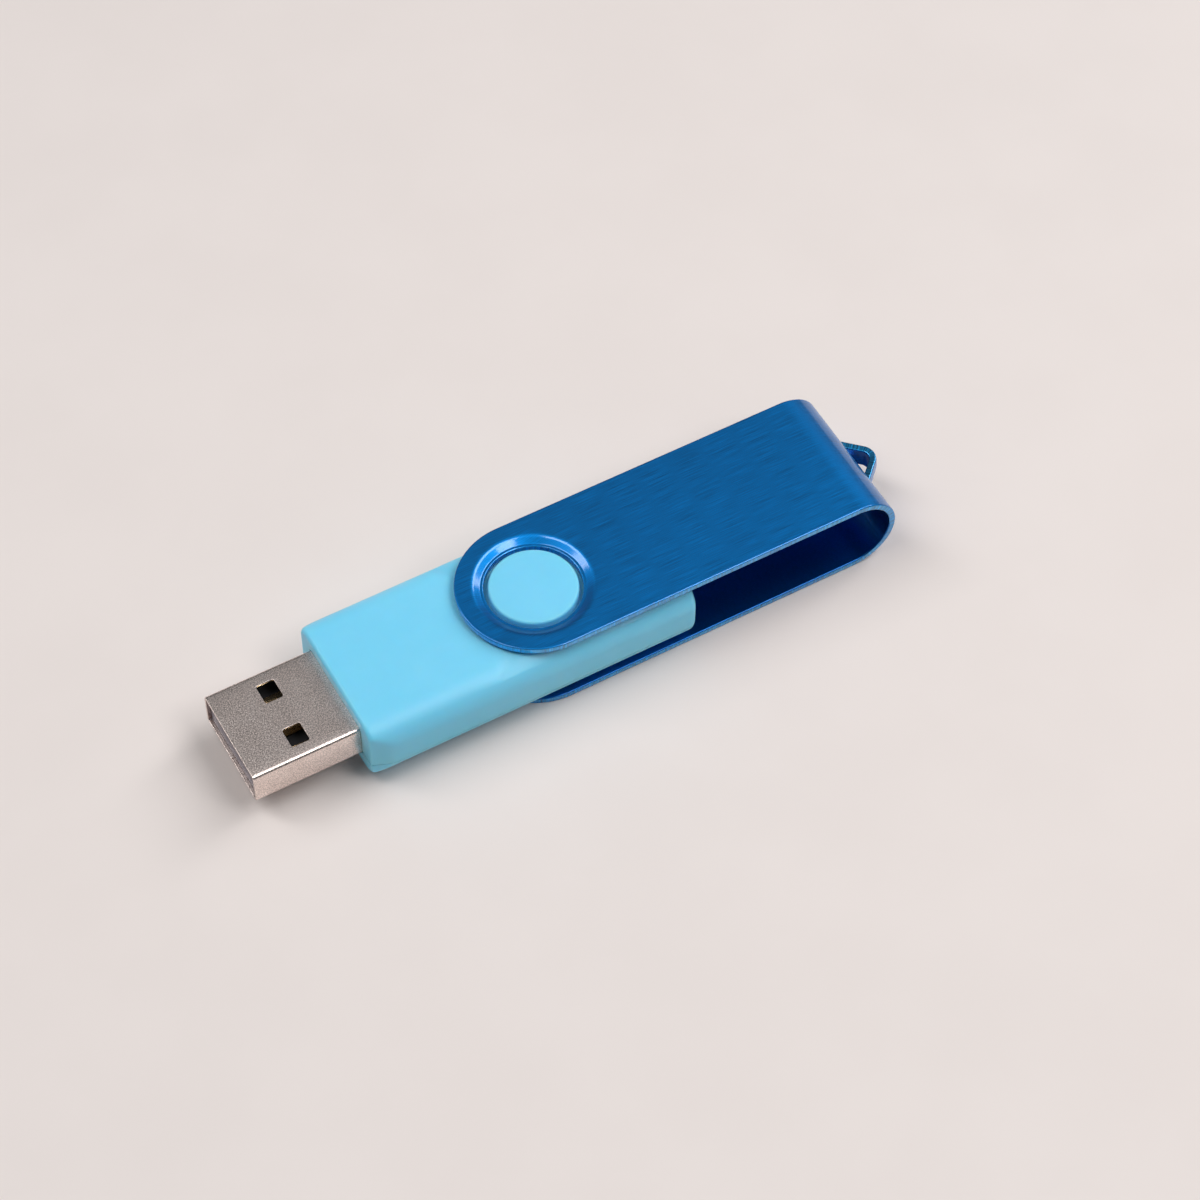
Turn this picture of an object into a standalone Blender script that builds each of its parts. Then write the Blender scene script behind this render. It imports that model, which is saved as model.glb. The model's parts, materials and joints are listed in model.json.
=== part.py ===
"""USB flash drive with a swivelling sheet-metal cover.

Lengths are in metres. The drive lies on the cover's lower plate: +Z is up, and X runs from
the plug's tip to the keyring loop. Pieces are modelled about the swivel axis at mid height,
and two empties on that axis carry the drive and the cover.
"""

import math

import bmesh
import bpy
from mathutils import Matrix, Vector

# Cover: one strip of sheet bent into a U, with a pressed dimple and a hole in each plate.
COVER_WIDTH = 0.0172
COVER_HEIGHT = 0.0103
COVER_SHEET = 0.0008
CLOSED_CLEARANCE = 0.0037
DIMPLE_DEPTH = 0.0005
DIMPLE_SLOPE = 0.00115
DIMPLE_LIP = 0.00035
LOOP_WIDTH = 0.0068
LOOP_HEIGHT = 0.0025
LOOP_PROUD = 0.0026
LOOP_TIP_RADIUS = 0.0013
LOOP_SLIT = 0.0001

# Housing: two plastic halves round the electronics, with a round boss on each face.
HOUSING_WIDTH = 0.0183
HOUSING_FRONT = 0.0241
HOUSING_REAR = 0.0154
HOUSING_CORNER = 0.003
FRONT_EDGE_RADIUS = 0.0004
REAR_EDGE_RADIUS = 0.0009
FRONT_CHAMFER_LENGTH = 0.0024
FRONT_CHAMFER_DEPTH = 0.001
SIDE_WALL = 0.0011
FACE_WALL = 0.0014
LOWER_HALF_HEIGHT = 0.0024
SEAM_LIP_THICKNESS = 0.0005
SEAM_LIP_HEIGHT = 0.0008
BOSS_RADIUS = 0.00495
BOSS_SUNK = 0.0003
BOSS_EDGE_RADIUS = 0.0003
BOSS_WALL = 0.001
POST_LENGTH = 0.0012
POST_BITE = 0.0008
POST_GAP = 0.0003

# Plug: the shell, tongue and contacts have the standard sizes of a type A plug.
PLUG_WIDTH = 0.012
PLUG_HEIGHT = 0.0045
PLUG_LENGTH = 0.01875
PLUG_EXPOSED = 0.0125
PLUG_SHEET = 0.0003
PLUG_CORNER = 0.0005
PLUG_SEAM = 0.00012
WINDOW_FROM_TIP = 0.0053
WINDOW_LENGTH = 0.0021
WINDOW_WIDTH = 0.0025
WINDOW_OFFSET = 0.00315
TAB_LENGTH = 0.0028
TAB_HEIGHT = 0.0016
TONGUE_HEIGHT = 0.0018
TONGUE_SET_BACK = 0.0004
TONGUE_REACH = 0.0112
BASE_SET_BACK = 0.0004
CONTACT_WIDTH = 0.001
CONTACT_SHEET = 0.00025
CONTACT_PROUD = 0.00015
CONTACT_NOSE = 0.00008
DATA_OFFSET = 0.001
POWER_OFFSET = 0.0035
DATA_FROM_TIP = 0.0021
POWER_FROM_TIP = 0.0011
CONTACT_TAIL = 0.0018

# Board and its components.
BOARD_THICKNESS = 0.001
BOARD_END_GAP = 0.0008
BOARD_SIDE_GAP = 0.00085
FLASH_LENGTH = 0.0184
FLASH_WIDTH = 0.012
FLASH_LEADS = 24
CONTROLLER_SIDE = 0.007
CONTROLLER_LEADS = 12
PACKAGE_HEIGHT = 0.001
LEAD_PITCH = 0.0005
LEAD_WIDTH = 0.00022
LEAD_SHEET = 0.00015
LEAD_SHOULDER = 0.0003
LEAD_REACH = 0.0008
CRYSTAL_LENGTH = 0.005
CRYSTAL_WIDTH = 0.0032
CRYSTAL_HEIGHT = 0.0011
CRYSTAL_EDGE = 0.0002
CHIP_LENGTH = 0.0016
CHIP_WIDTH = 0.0008
CHIP_CAP = 0.0003
CHIP_CAP_PROUD = 0.00004
CAPACITOR_HEIGHT = 0.0008
RESISTOR_HEIGHT = 0.00045
LED_HEIGHT = 0.0006
LED_LENS_RADIUS = 0.00032
LED_LENS_EDGE = 0.0001
REAR_STRIP = 0.0014

# Clearances.
PLATE_GAP = 0.0003
PIVOT_CLEARANCE = 0.00045
RECESS_CLEARANCE = 0.0003
SEAM_GAP = 0.0001
PLUG_FIT = 0.0001
TONGUE_FIT = 0.0001
SOLDER_GAP = 0.0001
CUT_OVERRUN = 0.001
JOIN_BITE = 0.0003

ROUND_STEPS = 64
BEND_STEPS = 24

# What follows from those sizes. Heights are above the mid plane.
COVER_TOP = COVER_HEIGHT / 2
PLATE_INSIDE = COVER_TOP - COVER_SHEET
HOUSING_TOP = PLATE_INSIDE - PLATE_GAP
CAVITY_TOP = HOUSING_TOP - FACE_WALL
HOLE_RADIUS = BOSS_RADIUS + PIVOT_CLEARANCE
DIMPLE_INNER = HOLE_RADIUS + DIMPLE_LIP
DIMPLE_OUTER = DIMPLE_INNER + DIMPLE_SLOPE
RECESS_RADIUS = DIMPLE_OUTER + RECESS_CLEARANCE
RECESS_FLOOR = PLATE_INSIDE - DIMPLE_DEPTH - RECESS_CLEARANCE
BOSS_TOP = COVER_TOP - BOSS_SUNK
PARTING = LOWER_HALF_HEIGHT - HOUSING_TOP
CAVITY_HALF_WIDTH = HOUSING_WIDTH / 2 - SIDE_WALL
CAVITY_FRONT = -HOUSING_FRONT + SIDE_WALL
CAVITY_REAR = HOUSING_REAR - SIDE_WALL
CAVITY_CORNER = HOUSING_CORNER - SIDE_WALL
TIP_REACH = HOUSING_FRONT + PLUG_EXPOSED
PLUG_REAR = PLUG_LENGTH - TIP_REACH
SHELL_INSIDE = PLUG_HEIGHT / 2 - PLUG_SHEET
COVER_REACH = TIP_REACH + CLOSED_CLEARANCE + COVER_SHEET
LOOP_REACH = COVER_REACH + LOOP_PROUD
TONGUE_TOP = -SHELL_INSIDE + TONGUE_FIT + TONGUE_HEIGHT
CONTACT_TOP = TONGUE_TOP + CONTACT_PROUD
GROOVE_FLOOR = CONTACT_TOP - CONTACT_SHEET - TONGUE_FIT
BASE_REAR = PLUG_REAR - BASE_SET_BACK
BOARD_TOP = CONTACT_TOP - CONTACT_SHEET - SOLDER_GAP
BOARD_BOTTOM = BOARD_TOP - BOARD_THICKNESS
BOARD_FRONT = PLUG_REAR + PLUG_FIT
BOARD_REAR = CAVITY_REAR - BOARD_END_GAP
BOARD_HALF_WIDTH = CAVITY_HALF_WIDTH - BOARD_SIDE_GAP
TAIL_END = BOARD_FRONT + CONTACT_TAIL
FLASH_X = BOARD_REAR - REAR_STRIP - LEAD_REACH - FLASH_LENGTH / 2
CONTROLLER_X = BOARD_FRONT + CONTACT_TAIL + LEAD_REACH + CONTROLLER_SIDE / 2
CRYSTAL_X = CONTROLLER_X + CONTROLLER_SIDE / 2 + LEAD_REACH + SIDE_WALL + CRYSTAL_LENGTH / 2
REAR_STRIP_X = BOARD_REAR - REAR_STRIP / 2
SWIVEL_PLACE = Vector(((TIP_REACH - LOOP_REACH) / 2, 0, COVER_TOP))


def clear_scene():
    for old in list(bpy.data.objects):
        bpy.data.objects.remove(old, do_unlink=True)


def new_collection(name):
    made = bpy.data.collections.new(name)
    bpy.context.scene.collection.children.link(made)
    return made


def add_empty(name):
    empty = bpy.data.objects.new(name, None)
    empty.location = SWIVEL_PLACE
    PARTS.objects.link(empty)
    return empty


def make_material(name, colour, roughness, metallic=0.0):
    material = bpy.data.materials.new(name)
    material.use_nodes = True
    shader = material.node_tree.nodes["Principled BSDF"]
    shader.inputs["Base Color"].default_value = (*colour, 1.0)
    shader.inputs["Roughness"].default_value = roughness
    shader.inputs["Metallic"].default_value = metallic
    return material


def make_object(name, mesh, place=(0, 0, 0)):
    """A new object placed from the swivel axis. It is a hidden cutter until made a part."""
    made = bpy.data.objects.new(name, mesh)
    made.parent = SWIVEL
    made.location = place
    made.hide_render = True
    made.display_type = "WIRE"
    CUTTERS.objects.link(made)
    return made


def make_part(made, material, pivot):
    """Moves a finished object into the parts, with its own material and moving body."""
    CUTTERS.objects.unlink(made)
    PARTS.objects.link(made)
    made.hide_render = False
    made.display_type = "TEXTURED"
    made.parent = pivot
    made.data.materials.clear()
    made.data.materials.append(material)
    made.data.shade_smooth()
    made.data.set_sharp_from_angle(angle=math.radians(30))
    return made


def from_bmesh(name, solid, place=(0, 0, 0)):
    mesh = bpy.data.meshes.new(name)
    solid.to_mesh(mesh)
    solid.free()
    return make_object(name, mesh, place)


def boolean(made, other, operation):
    step = made.modifiers.new(f"{operation.lower()} {other.name}", "BOOLEAN")
    step.operation = operation
    step.solver = "EXACT"
    step.object = other


def cut(made, *others):
    for other in others:
        boolean(made, other, "DIFFERENCE")


def join(made, *others):
    for other in others:
        boolean(made, other, "UNION")


def block(name, low, high, corner=0.0, front_edge=0.0, rear_edge=0.0):
    """A box whose edges along X have a corner radius, and whose ends have an edge radius."""
    low, high = Vector(low), Vector(high)
    solid = bmesh.new()
    bmesh.ops.create_cube(solid, size=1.0, matrix=Matrix.Diagonal((*(high - low), 1.0)))
    if corner:
        along = [e for e in solid.edges if e.verts[0].co.yz == e.verts[1].co.yz]
        round_edges(solid, along, corner, 8)
    for side, radius in ((-1, front_edge), (1, rear_edge)):
        end = side * (high.x - low.x) / 2
        rim = [e for e in solid.edges if all(abs(v.co.x - end) < 1e-7 for v in e.verts)]
        if radius:
            round_edges(solid, rim, radius, 3)
    return from_bmesh(name, solid, (low + high) / 2)


def round_edges(solid, edges, radius, segments):
    bmesh.ops.bevel(
        solid,
        geom=edges,
        offset=radius,
        segments=segments,
        profile=0.5,
        affect="EDGES",
        clamp_overlap=True,
    )


def cylinder(name, low_radius, high_radius, low, high, place=(0, 0), edge=0.0):
    """A cylinder or cone frustum along Z, with an optional radius on its upper edge."""
    solid = bmesh.new()
    bmesh.ops.create_cone(
        solid,
        cap_ends=True,
        segments=ROUND_STEPS,
        radius1=low_radius,
        radius2=high_radius,
        depth=high - low,
    )
    if edge:
        top = (high - low) / 2
        rim = [e for e in solid.edges if all(abs(v.co.z - top) < 1e-7 for v in e.verts)]
        round_edges(solid, rim, edge, 3)
    return from_bmesh(name, solid, (*place, (low + high) / 2))


def flip_z(made):
    """Turns a cutter or boss about X, from the upper face to the lower one."""
    made.rotation_euler.x = math.pi
    made.location.z = -made.location.z
    return made


def arc(centre, radius, start, end, steps):
    """Points along an arc, from start to end degrees."""
    angles = [math.radians(start + (end - start) * i / steps) for i in range(steps + 1)]
    return [
        (centre[0] + radius * math.cos(a), centre[1] + radius * math.sin(a))
        for a in angles
    ]


def strip(name, path, across, thickness, closed=False):
    """Sheet that follows a path at its mid thickness and is as wide as the vector across."""
    across = Vector(across)
    sheet = bmesh.new()
    line = [sheet.verts.new(Vector(point) - across / 2) for point in path]
    pairs = list(zip(line, line[1:] + line[:1] if closed else line[1:]))
    edges = [sheet.edges.new(pair) for pair in pairs]
    grown = bmesh.ops.extrude_edge_only(sheet, edges=edges)["geom"]
    bmesh.ops.translate(
        sheet, vec=across, verts=[g for g in grown if isinstance(g, bmesh.types.BMVert)]
    )
    made = from_bmesh(name, sheet)
    solid = made.modifiers.new("thickness", "SOLIDIFY")
    solid.thickness = thickness
    solid.offset = 0.0
    solid.use_even_offset = True
    return made


def flat_outline(name, points, low, high):
    """A closed outline in the XY plane, filled and extruded from low to high."""
    curve = bpy.data.curves.new(name, "CURVE")
    curve.dimensions = "2D"
    curve.fill_mode = "BOTH"
    curve.extrude = (high - low) / 2
    spline = curve.splines.new("POLY")
    spline.points.add(len(points) - 1)
    for point, (x, y) in zip(spline.points, points):
        point.co = (x, y, 0, 1)
    spline.use_cyclic_u = True
    drawn = bpy.data.objects.new(name + "_outline", curve)
    CUTTERS.objects.link(drawn)
    graph = bpy.context.evaluated_depsgraph_get()
    mesh = bpy.data.meshes.new_from_object(drawn.evaluated_get(graph))
    bpy.data.objects.remove(drawn)
    solid = bmesh.new()
    solid.from_mesh(mesh)
    bmesh.ops.remove_doubles(solid, verts=solid.verts, dist=1e-6)
    return from_bmesh(name, solid, (0, 0, (low + high) / 2))


def cover_bend():
    """The U strip: lower plate, half-round bend and upper plate, with square ends."""
    radius = COVER_TOP - COVER_SHEET / 2
    bend_x = COVER_REACH - COVER_TOP
    end = -COVER_WIDTH
    side = [(end, -radius), *arc((bend_x, 0), radius, -90, 90, BEND_STEPS), (end, radius)]
    path = [(x, 0, z) for x, z in side]
    return strip("swivel_cover", path, (0, COVER_WIDTH, 0), COVER_SHEET)


def cover_outline():
    """Seen from above, each plate ends in a half circle about the swivel axis."""
    half = COVER_WIDTH / 2
    far = LOOP_REACH + CUT_OVERRUN
    wide = half + CUT_OVERRUN
    ends = arc((0, 0), half, 90, 270, ROUND_STEPS)
    points = [(far, wide), (0, wide), *ends, (0, -wide), (far, -wide)]
    return flat_outline("cover_outline", points, -COVER_HEIGHT, COVER_HEIGHT)


def add_dimple(cover, side):
    """Presses a dimple into one plate: the sheet bulges inwards round the boss hole."""
    bulge_low = PLATE_INSIDE - DIMPLE_DEPTH
    bulge_high = PLATE_INSIDE + COVER_SHEET / 2
    slope = DIMPLE_SLOPE / DIMPLE_DEPTH
    bulge_outer = DIMPLE_OUTER + slope * COVER_SHEET / 2
    bulge = cylinder(f"bulge_{side}", DIMPLE_INNER, bulge_outer, bulge_low, bulge_high)
    press_low = COVER_TOP - DIMPLE_DEPTH
    press_high = COVER_TOP + CUT_OVERRUN
    press_outer = DIMPLE_OUTER + slope * CUT_OVERRUN
    press = cylinder(f"press_{side}", DIMPLE_INNER, press_outer, press_low, press_high)
    hole_low = bulge_low - CUT_OVERRUN
    hole = cylinder(f"hole_{side}", HOLE_RADIUS, HOLE_RADIUS, hole_low, press_high)
    if side == "lower":
        for made in (bulge, press, hole):
            flip_z(made)
    join(cover, bulge)
    cut(cover, press, hole)


def loop_path():
    """The keyring strip from above: two straight runs that meet in a round tip."""
    half = LOOP_WIDTH / 2
    tip = LOOP_REACH - COVER_SHEET / 2 - LOOP_TIP_RADIUS
    foot = COVER_REACH - COVER_SHEET
    distance = math.hypot(tip - foot, half)
    turn = math.degrees(math.atan2(half, tip - foot))
    turn -= math.degrees(math.asin(LOOP_TIP_RADIUS / distance))
    round_tip = arc((tip, 0), LOOP_TIP_RADIUS, turn - 90, 90 - turn, 8)
    return [(foot, -half), *round_tip, (foot, half)]


def add_keyring_loop(cover):
    """A strip is cut free of the bend on two slits and pushed out, for a split ring."""
    window = block(
        "loop_window",
        (COVER_REACH - 2 * COVER_SHEET, -LOOP_WIDTH / 2, -LOOP_HEIGHT / 2 - LOOP_SLIT),
        (LOOP_REACH + CUT_OVERRUN, LOOP_WIDTH / 2, LOOP_HEIGHT / 2 + LOOP_SLIT),
    )
    path = [(x, y, 0) for x, y in loop_path()]
    loop = strip("loop_strip", path, (0, 0, LOOP_HEIGHT), COVER_SHEET)
    cut(cover, window)
    join(cover, loop)


def make_cover():
    cover = cover_bend()
    boolean(cover, cover_outline(), "INTERSECT")
    for side in ("upper", "lower"):
        add_dimple(cover, side)
    add_keyring_loop(cover)
    blue = make_material("anodised_blue", (0.006, 0.105, 0.38), 0.32, 1.0)
    return make_part(cover, blue, COVER_SWIVEL)


def housing_cavity(name, grow, low, high):
    """The hollow inside the housing, grown sideways and cut to a height range."""
    hollow = block(
        name,
        (CAVITY_FRONT - grow, -CAVITY_HALF_WIDTH - grow, -CAVITY_TOP - grow),
        (CAVITY_REAR + grow, CAVITY_HALF_WIDTH + grow, CAVITY_TOP + grow),
        corner=CAVITY_CORNER + grow,
    )
    wide = HOUSING_FRONT + HOUSING_REAR
    band = block(f"{name}_band", (-wide, -wide, low), (wide, wide, high))
    boolean(hollow, band, "INTERSECT")
    return hollow


def plug_opening(half_name):
    return block(
        f"plug_opening_{half_name}",
        (-HOUSING_FRONT - CUT_OVERRUN, -PLUG_WIDTH / 2 - PLUG_FIT, -PLUG_HEIGHT / 2 - PLUG_FIT),
        (CAVITY_FRONT + CUT_OVERRUN, PLUG_WIDTH / 2 + PLUG_FIT, PLUG_HEIGHT / 2 + PLUG_FIT),
        corner=PLUG_CORNER,
    )


def front_chamfers(name, inset=0.0):
    """Slanting cutters that take the two upright corners off the front, at or inside its skin."""
    cutters = []
    angle = math.atan2(FRONT_CHAMFER_DEPTH, FRONT_CHAMFER_LENGTH)
    size = HOUSING_CORNER + CUT_OVERRUN
    for side in (-1, 1):
        middle = Vector((
            -HOUSING_FRONT + FRONT_CHAMFER_LENGTH / 2,
            side * (HOUSING_WIDTH - FRONT_CHAMFER_DEPTH) / 2,
            0,
        ))
        outward = Vector((-math.sin(angle), side * math.cos(angle), 0))
        wedge = block(
            f"front_chamfer_{name}_{side}",
            (-size, -size, -COVER_TOP),
            (size, size, COVER_TOP),
        )
        wedge.rotation_euler.z = side * angle
        wedge.location = middle + outward * (size - inset)
        cutters.append(wedge)
    return cutters


def board_posts(half_name, low, high):
    """Four posts beside the side walls that trap the board between the two halves."""
    posts = []
    for x in (PLUG_REAR + TAB_LENGTH + POST_GAP, BOARD_REAR - REAR_STRIP):
        for side in (-1, 1):
            inner = side * (BOARD_HALF_WIDTH - POST_BITE)
            outer = side * (CAVITY_HALF_WIDTH - SEAM_GAP)
            posts.append(block(
                f"post_{half_name}_{len(posts)}",
                (x, min(inner, outer), low),
                (x + POST_LENGTH, max(inner, outer), high),
            ))
    return posts


def housing_block(half_name, split_low, split_high, cavity_low, cavity_high):
    """The outer block cut to one side of the parting plane, hollowed and chamfered."""
    half = block(
        f"{half_name}_housing",
        (-HOUSING_FRONT, -HOUSING_WIDTH / 2, -HOUSING_TOP),
        (HOUSING_REAR, HOUSING_WIDTH / 2, HOUSING_TOP),
        HOUSING_CORNER,
        FRONT_EDGE_RADIUS,
        REAR_EDGE_RADIUS,
    )
    wide = HOUSING_FRONT + HOUSING_REAR
    split = block(f"split_{half_name}", (-wide, -wide, split_low), (wide, wide, split_high))
    hollow = housing_cavity(f"cavity_{half_name}", 0.0, cavity_low, cavity_high)
    boolean(half, split, "INTERSECT")
    cut(half, hollow, *front_chamfers(half_name))
    return half


def add_boss(half, half_name):
    """A recess that clears the cover's dimple, and the hollow boss that stands up inside it."""
    recess = cylinder(
        f"recess_{half_name}", RECESS_RADIUS, RECESS_RADIUS, RECESS_FLOOR, COVER_TOP
    )
    boss_foot = RECESS_FLOOR - JOIN_BITE
    boss = cylinder(
        f"boss_{half_name}", BOSS_RADIUS, BOSS_RADIUS, boss_foot, BOSS_TOP, edge=BOSS_EDGE_RADIUS
    )
    core_radius = BOSS_RADIUS - BOSS_WALL
    core_low = CAVITY_TOP - JOIN_BITE
    core = cylinder(f"core_{half_name}", core_radius, core_radius, core_low, BOSS_TOP - BOSS_WALL)
    if half_name == "lower":
        for made in (recess, boss, core):
            flip_z(made)
    cut(half, recess)
    join(half, boss)
    cut(half, core)


def make_upper_housing(plastic):
    """The deep upper half, rebated where the lower half's lip rises inside it."""
    bottom = PARTING + SEAM_GAP / 2
    half = housing_block("upper", bottom, COVER_TOP, bottom - CUT_OVERRUN, CAVITY_TOP)
    rebate = housing_cavity(
        "seam_rebate",
        SEAM_LIP_THICKNESS + SEAM_GAP,
        bottom - CUT_OVERRUN,
        PARTING + SEAM_LIP_HEIGHT + SEAM_GAP,
    )
    cut(rebate, *front_chamfers("rebate", SIDE_WALL / 2))
    cut(half, rebate)
    add_boss(half, "upper")
    post_low = BOARD_TOP + SOLDER_GAP
    join(half, *board_posts("upper", post_low, CAVITY_TOP + JOIN_BITE))
    cut(half, plug_opening("upper"))
    return make_part(half, plastic, DRIVE_SWIVEL)


def make_lower_housing(plastic):
    """The shallow lower half, with a lip round its rim that locates the upper half."""
    top = PARTING - SEAM_GAP / 2
    half = housing_block("lower", -COVER_TOP, top, -CAVITY_TOP, top + CUT_OVERRUN)
    lip_low = PARTING - SEAM_LIP_HEIGHT / 2
    lip_high = PARTING + SEAM_LIP_HEIGHT
    lip = housing_cavity("seam_lip", SEAM_LIP_THICKNESS, lip_low, lip_high)
    lip_hollow = housing_cavity("lip_hollow", 0.0, lip_low - SEAM_GAP, lip_high + SEAM_GAP)
    cut(lip, lip_hollow, *front_chamfers("lip", SIDE_WALL / 2 + SEAM_GAP))
    join(half, lip)
    add_boss(half, "lower")
    post_low = -CAVITY_TOP - JOIN_BITE
    join(half, *board_posts("lower", post_low, BOARD_BOTTOM - SOLDER_GAP))
    cut(half, plug_opening("lower"))
    return make_part(half, plastic, DRIVE_SWIVEL)


def shell_windows():
    """The latch windows, two in the top of the plug's shell and two in its underside."""
    windows = []
    x = -TIP_REACH + WINDOW_FROM_TIP
    for side in (-1, 1):
        y = side * WINDOW_OFFSET
        windows.append(block(
            f"window_{side}",
            (x, y - WINDOW_WIDTH / 2, -PLUG_HEIGHT),
            (x + WINDOW_LENGTH, y + WINDOW_WIDTH / 2, PLUG_HEIGHT),
        ))
    return windows


def make_plug_shell():
    """Sheet rolled into a rectangular tube, with a seam below and two solder tabs."""
    half_width = (PLUG_WIDTH - PLUG_SHEET) / 2
    half_height = (PLUG_HEIGHT - PLUG_SHEET) / 2
    radius = PLUG_CORNER - PLUG_SHEET / 2
    corners = ((1, 1, 0), (-1, 1, 90), (-1, -1, 180), (1, -1, 270))
    outline = []
    for y_side, z_side, start in corners:
        centre = (y_side * (half_width - radius), z_side * (half_height - radius))
        outline += arc(centre, radius, start, start + 90, 4)
    length = PLUG_LENGTH + TAB_LENGTH
    middle = -TIP_REACH + length / 2
    path = [(middle, y, z) for y, z in outline]
    shell = strip("plug_shell", path, (length, 0, 0), PLUG_SHEET, closed=True)
    tab_middle = (BOARD_TOP + BOARD_BOTTOM) / 2
    overrun = TAB_LENGTH + CUT_OVERRUN
    wide = PLUG_WIDTH / 2 + CUT_OVERRUN
    above = block(
        "above_tabs",
        (PLUG_REAR, -wide, tab_middle + TAB_HEIGHT / 2),
        (PLUG_REAR + overrun, wide, PLUG_HEIGHT),
    )
    below = block(
        "below_tabs",
        (PLUG_REAR, -wide, -PLUG_HEIGHT),
        (PLUG_REAR + overrun, wide, tab_middle - TAB_HEIGHT / 2),
    )
    seam = block(
        "shell_seam",
        (-TIP_REACH - CUT_OVERRUN, -PLUG_SEAM / 2, -PLUG_HEIGHT),
        (PLUG_REAR + overrun, PLUG_SEAM / 2, 0),
    )
    cut(shell, *shell_windows(), above, below, seam)
    nickel = make_material("plug_nickel", (0.62, 0.58, 0.54), 0.35, 1.0)
    return make_part(shell, nickel, DRIVE_SWIVEL)


def contact_rows():
    """Name, offset across the plug and distance from the tip of each contact."""
    return (
        ("contact_vbus", -POWER_OFFSET, POWER_FROM_TIP),
        ("contact_data_minus", -DATA_OFFSET, DATA_FROM_TIP),
        ("contact_data_plus", DATA_OFFSET, DATA_FROM_TIP),
        ("contact_ground", POWER_OFFSET, POWER_FROM_TIP),
    )


def make_insulator():
    """The plug's plastic insert: a tongue with four grooves, and a base that fills the shell."""
    half_width = PLUG_WIDTH / 2 - PLUG_SHEET - TONGUE_FIT
    half_height = SHELL_INSIDE - TONGUE_FIT
    tongue_end = -TIP_REACH + TONGUE_SET_BACK
    tongue = block(
        "plug_insulator",
        (tongue_end, -half_width, -half_height),
        (BASE_REAR, half_width, half_height),
        front_edge=TONGUE_FIT,
    )
    hollow = block(
        "above_tongue",
        (tongue_end - CUT_OVERRUN, -PLUG_WIDTH, TONGUE_TOP),
        (-TIP_REACH + TONGUE_REACH, PLUG_WIDTH, PLUG_HEIGHT),
    )
    cut(tongue, hollow)
    for name, offset, from_tip in contact_rows():
        half = CONTACT_WIDTH / 2 + TONGUE_FIT
        groove = block(
            f"groove_{name}",
            (-TIP_REACH + from_tip - TONGUE_FIT, offset - half, GROOVE_FLOOR),
            (BASE_REAR + CUT_OVERRUN, offset + half, CONTACT_TOP + TONGUE_FIT),
        )
        cut(tongue, groove)
    black = make_material("insulator_black", (0.03, 0.03, 0.035), 0.5)
    return make_part(tongue, black, DRIVE_SWIVEL)


def make_contacts():
    """Four flat gilt blades that lie in the tongue's grooves and end as tails on the board."""
    gold = make_material("contact_gold", (0.83, 0.62, 0.28), 0.25, 1.0)
    for name, offset, from_tip in contact_rows():
        blade = block(
            name,
            (-TIP_REACH + from_tip, offset - CONTACT_WIDTH / 2, CONTACT_TOP - CONTACT_SHEET),
            (TAIL_END, offset + CONTACT_WIDTH / 2, CONTACT_TOP),
            front_edge=CONTACT_NOSE,
        )
        make_part(blade, gold, DRIVE_SWIVEL)


def make_board():
    """The circuit board, narrowed at the front where the shell's tabs hold it."""
    narrow = PLUG_WIDTH / 2 - PLUG_SHEET - SOLDER_GAP
    shoulder = PLUG_REAR + TAB_LENGTH + SOLDER_GAP
    wide = BOARD_HALF_WIDTH
    points = [
        (BOARD_FRONT, -narrow),
        (shoulder, -narrow),
        (shoulder, -wide),
        (BOARD_REAR, -wide),
        (BOARD_REAR, wide),
        (shoulder, wide),
        (shoulder, narrow),
        (BOARD_FRONT, narrow),
    ]
    board = flat_outline("circuit_board", points, BOARD_BOTTOM, BOARD_TOP)
    green = make_material("board_green", (0.01, 0.14, 0.05), 0.4)
    return make_part(board, green, DRIVE_SWIVEL)


def lead_outline(edge, height):
    """A gull-wing lead from the side: out of the package, down to the board and out again."""
    inside = edge - LEAD_SHEET
    shoulder = edge + LEAD_SHOULDER
    foot = edge + LEAD_REACH
    return [
        (inside, height),
        (shoulder - LEAD_SHEET, height),
        (shoulder - LEAD_SHEET, 0.0),
        (foot, 0.0),
        (foot, LEAD_SHEET),
        (shoulder, LEAD_SHEET),
        (shoulder, height + LEAD_SHEET),
        (inside, height + LEAD_SHEET),
    ]


def lead_comb(name, length, width, turns, leads):
    """Rows of leads on the sides of a package that sits at the origin, on the plane Z = 0."""
    comb = bmesh.new()
    for turn in turns:
        edge = length / 2 if turn % 180 == 0 else width / 2
        outline = lead_outline(edge, PACKAGE_HEIGHT / 2)
        about_z = Matrix.Rotation(math.radians(turn), 4, "Z")
        for number in range(leads):
            y = (number - (leads - 1) / 2) * LEAD_PITCH - LEAD_WIDTH / 2
            corners = [comb.verts.new(about_z @ Vector((x, y, z))) for x, z in outline]
            face = comb.faces.new(corners)
            grown = bmesh.ops.extrude_face_region(comb, geom=[face])["geom"]
            moved = [g for g in grown if isinstance(g, bmesh.types.BMVert)]
            bmesh.ops.translate(comb, vec=about_z @ Vector((0, LEAD_WIDTH, 0)), verts=moved)
    bmesh.ops.recalc_face_normals(comb, faces=comb.faces)
    return from_bmesh(name, comb)


def make_package(name, length, width, turns, leads, x, below, material):
    """A moulded chip with its leads, soldered to the top or the underside of the board."""
    body = block(
        name,
        (-length / 2, -width / 2, LEAD_SHEET / 2),
        (length / 2, width / 2, PACKAGE_HEIGHT),
        front_edge=LEAD_SHEET,
        rear_edge=LEAD_SHEET,
    )
    body.data.transform(Matrix.Translation(body.location))
    comb = lead_comb(f"{name}_leads", length, width, turns, leads)
    join(body, comb)
    for made in (body, comb):
        made.location = (x, 0, BOARD_TOP + SOLDER_GAP)
        if below:
            made.rotation_euler.x = math.pi
            made.location.z = BOARD_BOTTOM - SOLDER_GAP
    return make_part(body, material, DRIVE_SWIVEL)


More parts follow.
